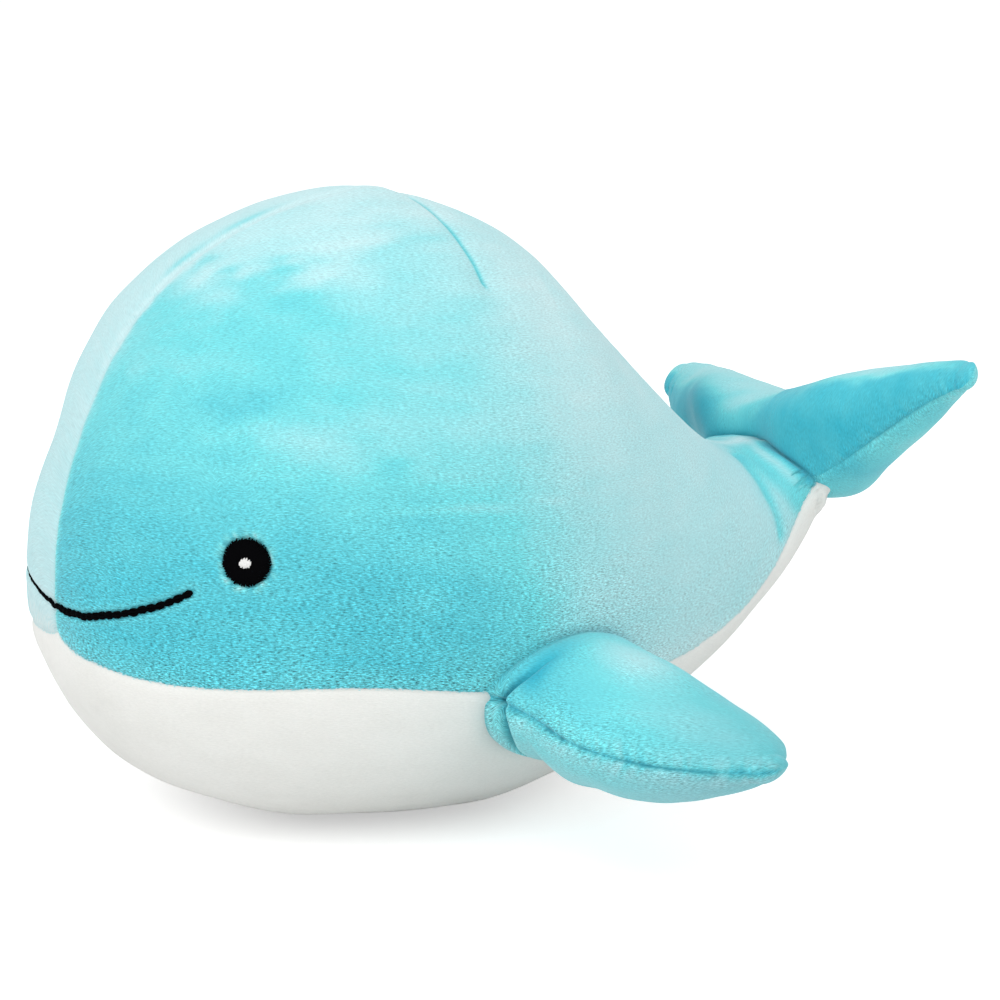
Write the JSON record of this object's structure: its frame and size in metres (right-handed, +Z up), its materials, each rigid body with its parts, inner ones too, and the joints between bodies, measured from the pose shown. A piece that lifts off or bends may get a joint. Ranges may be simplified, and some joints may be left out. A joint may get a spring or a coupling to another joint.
{
  "type": "plush whale",
  "caption": "Stuffed plush whale toy with a round blue body, off-white belly, stitched eyes and smile, two flippers and a raised tail fluke.",
  "frame": {"origin": "middle of the flat under the belly that the toy rests on", "axes": "+Z up from the resting face, -Y towards the nose, +X towards the whale's left side"},
  "size_m": [0.3012, 0.2783, 0.1854],
  "materials": {
    "blue_plush": "short velvet pile",
    "white_plush": "short velvet pile",
    "fibre": "loose polyester fill",
    "black_thread": "satin stitch",
    "white_thread": "satin stitch"
  },
  "bodies": {
    "body": {"side_panel_left": "blue_plush", "side_panel_right": "blue_plush", "belly_panel": "white_plush", "body_stuffing": "fibre", "eye_left_disc": "black_thread", "eye_left_highlight": "white_thread", "eye_right_disc": "black_thread", "eye_right_highlight": "white_thread", "smile_left": "black_thread", "smile_right": "black_thread"},
    "flipper_left": {"flipper_left_upper_panel": "blue_plush", "flipper_left_lower_panel": "blue_plush", "flipper_left_stuffing": "fibre"},
    "flipper_right": {"flipper_right_upper_panel": "blue_plush", "flipper_right_lower_panel": "blue_plush", "flipper_right_stuffing": "fibre"},
    "fluke": {"fluke_upper_panel": "blue_plush", "fluke_lower_panel": "blue_plush", "fluke_stuffing": "fibre"}
  },
  "joints": [
    {"name": "flipper_left_root", "type": "hinge", "parent": "body", "child": "flipper_left", "pos_m": [0.07367, 0.01843, 0.05006], "axis": [0.2324, -0.965, 0.1212], "range_deg": [-15, 25], "stiffness_Nm_per_rad": 0.12, "springref_deg": 0.86},
    {"name": "flipper_right_root", "type": "hinge", "parent": "body", "child": "flipper_right", "pos_m": [-0.07367, 0.01843, 0.05006], "axis": [0.2324, 0.965, -0.1212], "range_deg": [-15, 25], "stiffness_Nm_per_rad": 0.12, "springref_deg": 0.86},
    {"name": "fluke_root", "type": "hinge", "parent": "body", "child": "fluke", "pos_m": [0, 0.13878, 0.0863], "axis": [1, 0, 0], "range_deg": [-15, 15], "stiffness_Nm_per_rad": 0.15, "springref_deg": 0.23}
  ]
}
